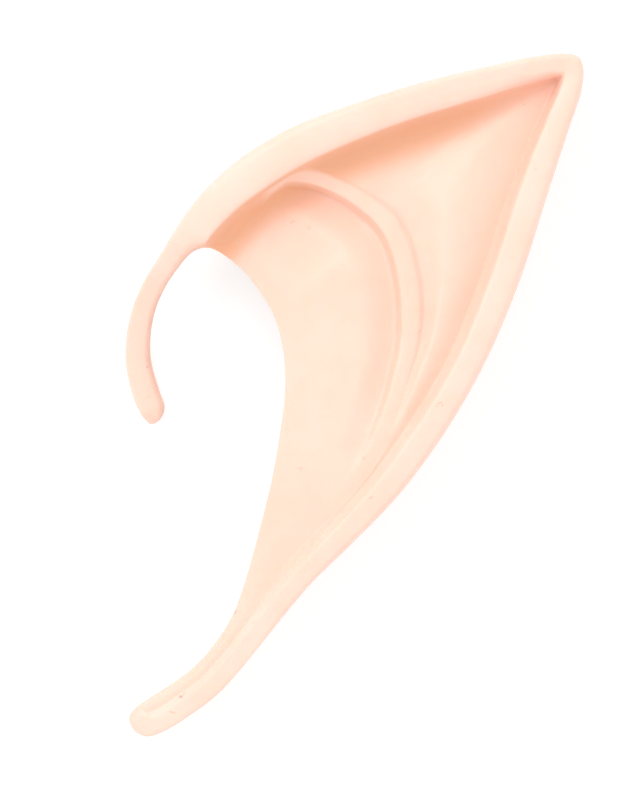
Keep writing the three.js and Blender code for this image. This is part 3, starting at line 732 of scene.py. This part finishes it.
    def loops(self, painted_shade: PaintedRimShade) -> tuple[Array, Array]:
        """Every section's closed loop in space, and the painted shade of the rim's hollow on it.

        On a strap the pocket's side shrinks onto the chord between the two cut edges. The painted
        shade rises from the lip on and fades by a square, by the square of the lip's crispness, and
        is cleared from the ridge's band.

        Args:
            painted_shade: How the shade in the rim's hollow is painted.

        Returns:
            The loops' points, and the painted shade at each of them.
        """
        t, z = self.outside()
        inner_t, inner_z = self.lining()
        count = inner_t.shape[1]
        share = (np.arange(count)[None] + 1) / (count + 1)
        inner_t = mix(inner_t, mix(t[:, -1:], t[:, :1], share), self.strap)
        inner_z = mix(inner_z, mix(z[:, -1:], z[:, :1], share), self.strap)
        t, z = np.concatenate([t, inner_t], 1), np.concatenate([z, inner_z], 1)
        plan = self.start[:, None] + self.inward[:, None] * t[..., None]
        # Painted shade: a darker, warmer colour from the lip over the floor of the rim's hollow, and
        # a little on the whole floor
        beyond = (t - painted_shade.from_lip * self.lip) / (painted_shade.width * self.slant)
        fading = np.clip(1 - beyond, 0, 1) ** 2 * (painted_shade.start + painted_shade.gain * beyond)
        band = self.on_band(t, painted_shade.band_fade, painted_shade.band_onset)
        fading *= self.crisp**2 * (1 - painted_shade.band_clear * band)
        return np.concatenate([plan, z[..., None]], 2), np.where(beyond > 0, painted_shade.least + fading, 0)


def soft_min(a: Array, b: Array) -> Array:
    """The smaller of two lengths, softly: one over the fourth root of their powers of -4 summed."""
    return (a**-4 + b**-4) ** -0.25


def tube_faces(count: int, size: int) -> list[list[int]]:
    """Faces of a tube whose rings come one after another, with its two poles after them.

    Args:
        count: How many rings there are.
        size: How many points a ring has.

    Returns:
        Quads between the rings, and a fan of triangles round each pole, as point numbers.
    """
    ring, step = np.meshgrid(np.arange(count - 1) * size, np.arange(size), indexing="ij")
    after = (step + 1) % size
    quads = np.stack([ring + step, ring + size + step, ring + size + after, ring + after], -1)
    around, onward = np.arange(size), (np.arange(size) + 1) % size
    first_pole, last_pole, final = count * size, count * size + 1, (count - 1) * size
    first_fan = np.stack([np.full(size, first_pole), around, onward], 1)
    last_fan = np.stack([np.full(size, last_pole), final + onward, final + around], 1)
    return quads.reshape(-1, 4).tolist() + first_fan.tolist() + last_fan.tolist()


def joined(parts: Sequence[tuple[Array, Array]]) -> tuple[Array, Array]:
    """Stretches of a section put end to end."""
    return tuple(np.concatenate([part[i] for part in parts], 1) for i in (0, 1))


# Shader maths

# Numbers of a Mix node's sockets for colours, whose names its other kinds have as well
MIX_SHARE, MIX_FIRST, MIX_SECOND, MIX_COLOUR = 0, 6, 7, 2


class Signal:
    """A shader socket that takes part in sums."""

    def __init__(self, bench: "Bench", socket: bpy.types.NodeSocket) -> None:
        """Wraps a socket of one node tree."""
        self.bench = bench
        self.socket = socket

    def maths(self, operation: str, *values: "Signal | float") -> "Signal":
        """A Math node on these values."""
        inputs = dict(enumerate(values))
        return self.bench.node("ShaderNodeMath", {"operation": operation}, inputs)

    def __add__(self, other: "Signal | float") -> "Signal":
        """This plus another."""
        return self.maths("ADD", self, other)

    def __sub__(self, other: "Signal | float") -> "Signal":
        """This less another."""
        return self.maths("SUBTRACT", self, other)

    def __rsub__(self, other: float) -> "Signal":
        """A number less this."""
        return self.maths("SUBTRACT", other, self)

    def __mul__(self, other: "Signal | float") -> "Signal":
        """This times another."""
        return self.maths("MULTIPLY", self, other)

    __radd__ = __add__
    __rmul__ = __mul__

    def larger(self, other: "Signal | float") -> "Signal":
        """The larger of this and another."""
        return self.maths("MAXIMUM", self, other)


class Bench:
    """A material's node tree, and the ways to add to it."""

    def __init__(self, name: str) -> None:
        """Starts a material with an empty tree.

        Args:
            name: The material's name.
        """
        self.material = bpy.data.materials.new(name)
        self.material.use_nodes = True
        self.tree = self.material.node_tree
        self.tree.nodes.clear()

    def node(
        self, kind: str, settings: dict | None = None, inputs: dict | None = None,
        output: int | str = 0,
    ) -> Signal:
        """Adds a node.

        Args:
            kind: The node's type.
            settings: Its properties, which are set first.
            inputs: Values or links of its sockets, by name or number.
            output: The socket that is given back.

        Returns:
            The output socket as a signal.
        """
        made = self.tree.nodes.new(kind)
        for name, value in (settings or {}).items():
            setattr(made, name, value)
        for name, value in (inputs or {}).items():
            if isinstance(value, Signal):
                self.tree.links.new(value.socket, made.inputs[name])
            else:
                made.inputs[name].default_value = value
        if not made.outputs:
            return Signal(self, made.inputs[0])
        return Signal(self, made.outputs[output])

    def blend(self, share: "Signal | float", a: "Signal | tuple", b: "Signal | tuple") -> Signal:
        """A colour the given share of the way from a to b."""
        sockets = {MIX_SHARE: share, MIX_FIRST: a, MIX_SECOND: b}
        return self.node("ShaderNodeMix", {"data_type": "RGBA"}, sockets, MIX_COLOUR)

    def spread(self, value: Signal, low: float, high: float) -> Signal:
        """A signal's stretch from low to high as 0 to 1, with soft ends."""
        return self.node(
            "ShaderNodeMapRange",
            {"interpolation_type": "SMOOTHSTEP"},
            {"Value": value, "From Min": low, "From Max": high, "To Min": 0.0, "To Max": 1.0},
        )

    def noise(self, where: Signal, per_mm: float, detail: float) -> Signal:
        """Soft noise from 0 to 1 with this many waves in a millimetre."""
        return self.node(
            "ShaderNodeTexNoise", {}, {"Vector": where, "Scale": per_mm / MM, "Detail": detail}
        )


# The latex


class Shade(Enum):
    """Colours of the ear and of what it lies on."""

    LATEX = (0.975, 0.638, 0.52, 1)
    LATEX_WARM = (0.975, 0.61, 0.485, 1)
    LATEX_PALE = (0.98, 0.66, 0.55, 1)
    # Painted shade: the darker, warmer colour painted into the hollow under the rim's lip
    PAINTED_RIM_SHADE = (0.875, 0.455, 0.275, 1)
    STAIN = (0.4, 0.12, 0.08, 1)
    FLOOR = (0.37, 0.375, 0.377, 1)
    WHITE = (1, 1, 1, 1)


# Small marks in the latex, such as scratches and specks: middle, length, breadth, turn in
# degrees and strength
MARKS = Table("x y length breadth turn strength", [
    [-7.7, 35.1, 1.3, 0.63, 18, 0.75], [-9.82, 32.4, 1.9, 0.25, 86, 0.22],
    [-9.74, 31.4, 0.47, 0.38, 0, 0.35], [-9.67, 27.3, 0.94, 0.25, 30, 0.25],
    [-7.07, 26.4, 0.79, 0.63, 0, 0.12], [-29.7, 18.5, 0.41, 0.41, 0, 0.45],
    [-31.9, 13.8, 0.38, 0.35, 0, 0.25], [-32.5, 4.56, 0.44, 0.44, 0, 0.5],
    [-32.5, -0.157, 1.6, 0.19, 25, 0.14], [-32.1, -3.14, 0.38, 0.38, 0, 0.3],
    [-8.49, -11.3, 1, 0.22, 8, 0.25], [-8.33, -11.6, 0.71, 0.22, 80, 0.2],
    [6.91, 12.8, 0.57, 0.53, 0, 0.6], [10.4, 10.3, 1.1, 0.24, 18, 0.2],
    [10.1, 9.82, 0.94, 0.2, 8, 0.18], [13.4, -1.07, 1.1, 0.24, 20, 0.28],
    [13.8, -1.41, 0.63, 0.22, -45, 0.27], [12.9, -1.57, 0.47, 0.22, 10, 0.24],
    [-27.3, -47.3, 0.72, 0.66, 0, 0.6], [-26.8, -46.9, 1.4, 0.38, 72, 0.28],
    [-16, -35.7, 1.1, 0.47, 18, 0.14], [-18.7, -34.1, 1.3, 0.35, 62, 0.6],
    [28, 41.3, 1.4, 0.35, 80, 0.45], [26.7, 45.7, 0.53, 0.25, 30, 0.2],
    [28.4, 35.4, 0.38, 0.35, 0, 0.2], [-28.6, -49.8, 1.3, 0.25, -18, 0.28],
    [1.51, -9.74, 0.63, 0.25, 40, 0.24], [2.67, -15.9, 0.86, 0.24, 32, 0.3],
])


@dataclass(frozen=True)
class Mark:
    """A small mark in the latex, as an ellipsoid whose inside is stained; sizes in millimetres."""

    place: tuple[float, float, float]
    length: float
    breadth: float
    turn: float
    strength: float
    height: float = 1.6
    spread: float = 1.3  # the ellipsoid's length and breadth, with the mark's as 1
    full_inside: float = 0.4

    @classmethod
    def on_surface(cls, points: Array, near_mm: float = 1) -> list["Mark"]:
        """The table's marks, each at the height of the highest point near it in plan.

        Args:
            points: The skin's points in millimetres.
            near_mm: How near counts.

        Returns:
            The marks.
        """
        marks = []
        for x, y, length, breadth, turn, strength in zip(*MARKS.columns.values()):
            near = np.hypot(points[:, 0] - x, points[:, 1] - y) < near_mm
            level = points[near, 2].max() if near.any() else 0
            marks.append(cls((x, y, level), length, breadth, math.radians(turn), strength))
        return marks

    def stain(self, bench: "Bench", where: Signal) -> Signal:
        """How stained the latex is: fully in the ellipsoid's middle, fading to its outside.

        Args:
            bench: The latex's node tree.
            where: Places in the latex.

        Returns:
            The stain from 0 to 1.
        """
        sizes = (self.spread * self.length, self.spread * self.breadth, self.height)
        inside = bench.node("ShaderNodeMapping", {"vector_type": "TEXTURE"}, {
            "Vector": where,
            "Location": tuple(value * MM for value in self.place),
            "Rotation": (0, 0, self.turn),
            "Scale": tuple(size / 2 * MM for size in sizes),
        })
        away = bench.node("ShaderNodeVectorMath", {"operation": "LENGTH"}, {0: inside}, "Value")
        return (1 - bench.spread(away, self.full_inside, 1.0)) * self.strength


@dataclass(frozen=True)
class Cloud:
    """A soft noise, and the stretch of it that is spread from 0 to 1."""

    per_mm: float
    detail: float
    low: float = 0
    high: float = 1

    def signal(self, bench: Bench, where: Signal) -> Signal:
        """The noise as it comes."""
        return bench.noise(where, self.per_mm, self.detail)

    def mask(self, bench: Bench, where: Signal) -> Signal:
        """The noise's stretch spread from 0 to 1."""
        return bench.spread(self.signal(bench, where), self.low, self.high)


@dataclass(frozen=True)
class LatexFinish:
    """Satin cast latex that lets light in a little way."""

    patches: Cloud = Cloud(0.09, 3, 0.35, 0.68)
    blotches: Cloud = Cloud(0.35, 2, 0.45, 0.75)
    blotch_strength: float = 0.3
    lumps: Cloud = Cloud(0.5, 2)
    lump_height: float = 1.5
    grain: Cloud = Cloud(3.2, 3)
    grain_height: float = 0.35
    stain_depth: float = 0.8
    relief_mm: float = 0.035
    relief_strength: float = 0.6
    satin: Cloud = Cloud(0.8, 2)
    roughness: float = 0.4
    roughness_range: float = 0.12
    refraction: float = 1.5
    subsurface: float = 0.25
    subsurface_mm: float = 1.4
    subsurface_reach: tuple[float, float, float] = (1, 0.42, 0.22)

    def material(self, marks: Sequence[Mark]) -> bpy.types.Material:
        """The latex, warmer in patches, with shade painted darker and warmer into the rim's hollow,
        a fine grain and marks.

        Args:
            marks: The small marks in it.

        Returns:
            The material.
        """
        bench = Bench("cast_latex")
        where = bench.node("ShaderNodeTexCoord", output="Object")
        patches = self.patches.mask(bench, where)
        colour = bench.blend(patches, Shade.LATEX_PALE.value, Shade.LATEX.value)
        blotches = self.blotches.mask(bench, where)
        colour = bench.blend(blotches * self.blotch_strength, colour, Shade.LATEX_WARM.value)
        # Painted shade: the colour is darkened and warmed in the rim's hollow, by the points'
        # attribute
        painted_rim_shade = bench.node("ShaderNodeAttribute", {"attribute_name": "painted_rim_shade"}, output="Fac")
        colour = bench.blend(painted_rim_shade, colour, Shade.PAINTED_RIM_SHADE.value)
        stain = reduce(Signal.larger, (mark.stain(bench, where) for mark in marks))
        colour = bench.blend(stain, colour, Shade.STAIN.value)
        surface = bench.node("ShaderNodeBsdfPrincipled", {}, {
            "Base Color": colour,
            "Roughness": self.sheen(bench, where),
            "Normal": self.relief(bench, where, stain),
            "IOR": self.refraction,
            "Subsurface Weight": self.subsurface,
            "Subsurface Radius": self.subsurface_reach,
            "Subsurface Scale": self.subsurface_mm * MM,
        })
        bench.node("ShaderNodeOutputMaterial", {}, {"Surface": surface})
        return bench.material

    def sheen(self, bench: Bench, where: Signal) -> Signal:
        """The roughness, a little more or less from place to place."""
        least = self.roughness - self.roughness_range / 2
        return self.satin.signal(bench, where) * self.roughness_range + least

    def relief(self, bench: Bench, where: Signal, stain: Signal) -> Signal:
        """Soft lumps, a fine grain and the marks' dips, as a bump.

        Args:
            bench: The latex's node tree.
            where: Places in the latex.
            stain: How stained it is there, which is how deep it dips.

        Returns:
            The bumped normal.
        """
        lumps = self.lumps.signal(bench, where) * self.lump_height
        grain = self.grain.signal(bench, where) * self.grain_height
        height = lumps + grain - stain * self.stain_depth
        return bench.node("ShaderNodeBump", {}, {
            "Strength": self.relief_strength,
            "Distance": self.relief_mm * MM,
            "Height": height,
        })


# The ear and its studio


@dataclass
class ElfEar:
    """The whole latex ear as one skin."""

    sizes: EarSizes = EarSizes()
    fine: Resolution = Resolution()
    # how the shade in the rim's hollow is painted into the colour
    painted_shade: PaintedRimShade = PaintedRimShade()
    finish: LatexFinish = LatexFinish()

    def rings(self) -> tuple[Array, Array, Array]:
        """The skin's sections and the poles that close them.

        Returns:
            The sections' points, the hollow's tint at each, and the points at the straps' ends.
        """
        outline = Outline(self.sizes)
        last = outline.last_row()
        row = np.arange(1, last * self.fine.sections) / self.fine.sections
        sections = EarSections(self.sizes, self.fine, outline, row)
        rings, painted_rim_shade = sections.loops(self.painted_shade)
        ends = np.array([0.0, last])
        crest = RIM.along("row", "crest", ends)
        back = BACK.along("row", "height", ends)
        level = (crest + back) / 2 * self.sizes.depth
        poles = np.concatenate([outline.outer(ends), level[:, None]], 1)
        return rings, painted_rim_shade, poles

    def build(self) -> bpy.types.Object:
        """The ear's mesh: rings of quads, closed by a fan at either end.

        It is centred in the CAD's box and set down on that box's bottom.

        Returns:
            The finished piece.
        """
        rings, painted_rim_shade, poles = self.rings()
        points = np.concatenate([rings.reshape(-1, 3), poles])
        low, high = points.min(0), points.max(0)
        cad_low, cad_high = (np.array(corner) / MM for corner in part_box("ear_shell"))
        shift = (cad_low + cad_high) / 2 - (low + high) / 2
        shift[2] = cad_low[2] - low[2]
        points = (points + shift) * MM

        mesh = bpy.data.meshes.new("latex_ear")
        mesh.from_pydata(points.tolist(), [], tube_faces(*rings.shape[:2]))
        mesh.polygons.foreach_set("use_smooth", np.ones(len(mesh.polygons), bool))
        mesh.update()
        # The painted shade of the rim's hollow, kept on the points for the latex's colour
        painted_shade = mesh.attributes.new("painted_rim_shade", "FLOAT", "POINT")
        painted_shade.data.foreach_set("value", np.append(painted_rim_shade, [0, 0]))
        ear = bpy.data.objects.new("latex_ear", mesh)
        bpy.context.scene.collection.objects.link(ear)
        mesh.materials.append(self.finish.material(Mark.on_surface(points / MM)))
        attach(ear, "root")
        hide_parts("ear_shell")
        return ear


@dataclass(frozen=True)
class Studio:
    """A pale floor, soft light from above and the camera over the ear."""

    middle_mm: tuple[float, float] = (-5.34, -0.63)
    frame_mm: float = 125.7  # the photograph's height at the level below
    frame_level_mm: float = 8
    camera_mm: float = 1600
    sensor_mm: float = 36
    clip_m: tuple[float, float] = (0.05, 10)
    key_place_m: tuple[float, float, float] = (-0.36, 0.52, 0.9)
    key_size_m: float = 0.7
    key_watts: float = 4.2
    sky: float = 1.02
    floor_half_m: float = 0.8
    floor_roughness: float = 0.9
    floor_glow: float = 0.66

    def build(self) -> None:
        """Sets up the floor, the lights, the camera and how the light is shown."""
        self.floor()
        self.key()
        self.world()
        self.camera()
        view = bpy.context.scene.view_settings
        view.view_transform = "Standard"
        view.look = "None"

    def floor(self) -> None:
        """A pale floor under the ear, which glows so that the ear's shadow on it is faint."""
        half = self.floor_half_m
        mesh = bpy.data.meshes.new("floor")
        corners = [(-half, -half, 0), (half, -half, 0), (half, half, 0), (-half, half, 0)]
        mesh.from_pydata(corners, [], [(0, 1, 2, 3)])
        bench = Bench("pale_floor")
        matte = bench.node("ShaderNodeBsdfPrincipled", {}, {
            "Base Color": Shade.FLOOR.value,
            "Roughness": self.floor_roughness,
            "Emission Color": Shade.WHITE.value,
            "Emission Strength": self.floor_glow,
        })
        bench.node("ShaderNodeOutputMaterial", {}, {"Surface": matte})
        mesh.materials.append(bench.material)
        floor = bpy.data.objects.new("floor", mesh)
        bpy.context.scene.collection.objects.link(floor)

    def key(self) -> None:
        """A large soft light, above the ear and past its upper rim on the hook's side."""
        lamp = bpy.data.lights.new("key", "AREA")
        lamp.shape = "DISK"
        lamp.size = self.key_size_m
        lamp.energy = self.key_watts
        light = bpy.data.objects.new("key", lamp)
        light.location = self.key_place_m
        light.rotation_euler = (-light.location).to_track_quat("-Z", "Y").to_euler()
        bpy.context.scene.collection.objects.link(light)

    def world(self) -> None:
        """An even white sky."""
        world = bpy.data.worlds.new("studio")
        world.use_nodes = True
        background = world.node_tree.nodes["Background"]
        background.inputs["Color"].default_value = Shade.WHITE.value
        background.inputs["Strength"].default_value = self.sky
        bpy.context.scene.world = world

    def camera(self) -> None:
        """A long lens looking straight down, with the ear's point at the top right."""
        lens = bpy.data.cameras.new("camera")
        lens.type = "PERSP"
        lens.sensor_width = self.sensor_mm
        lens.lens = self.sensor_mm * self.camera_mm / self.frame_mm
        lens.clip_start, lens.clip_end = self.clip_m
        eye = bpy.data.objects.new("camera", lens)
        x, y = self.middle_mm
        eye.location = (x * MM, y * MM, (self.camera_mm + self.frame_level_mm) * MM)
        bpy.context.scene.collection.objects.link(eye)
        bpy.context.scene.camera = eye


def main() -> None:
    """Builds the ear and its studio."""
    logging.basicConfig(level=logging.INFO, format="%(message)s")
    ear = ElfEar().build()
    LOG.info("%s: %d faces", ear.name, len(ear.data.polygons))
    Studio().build()


if __name__ == "__main__":
    main()
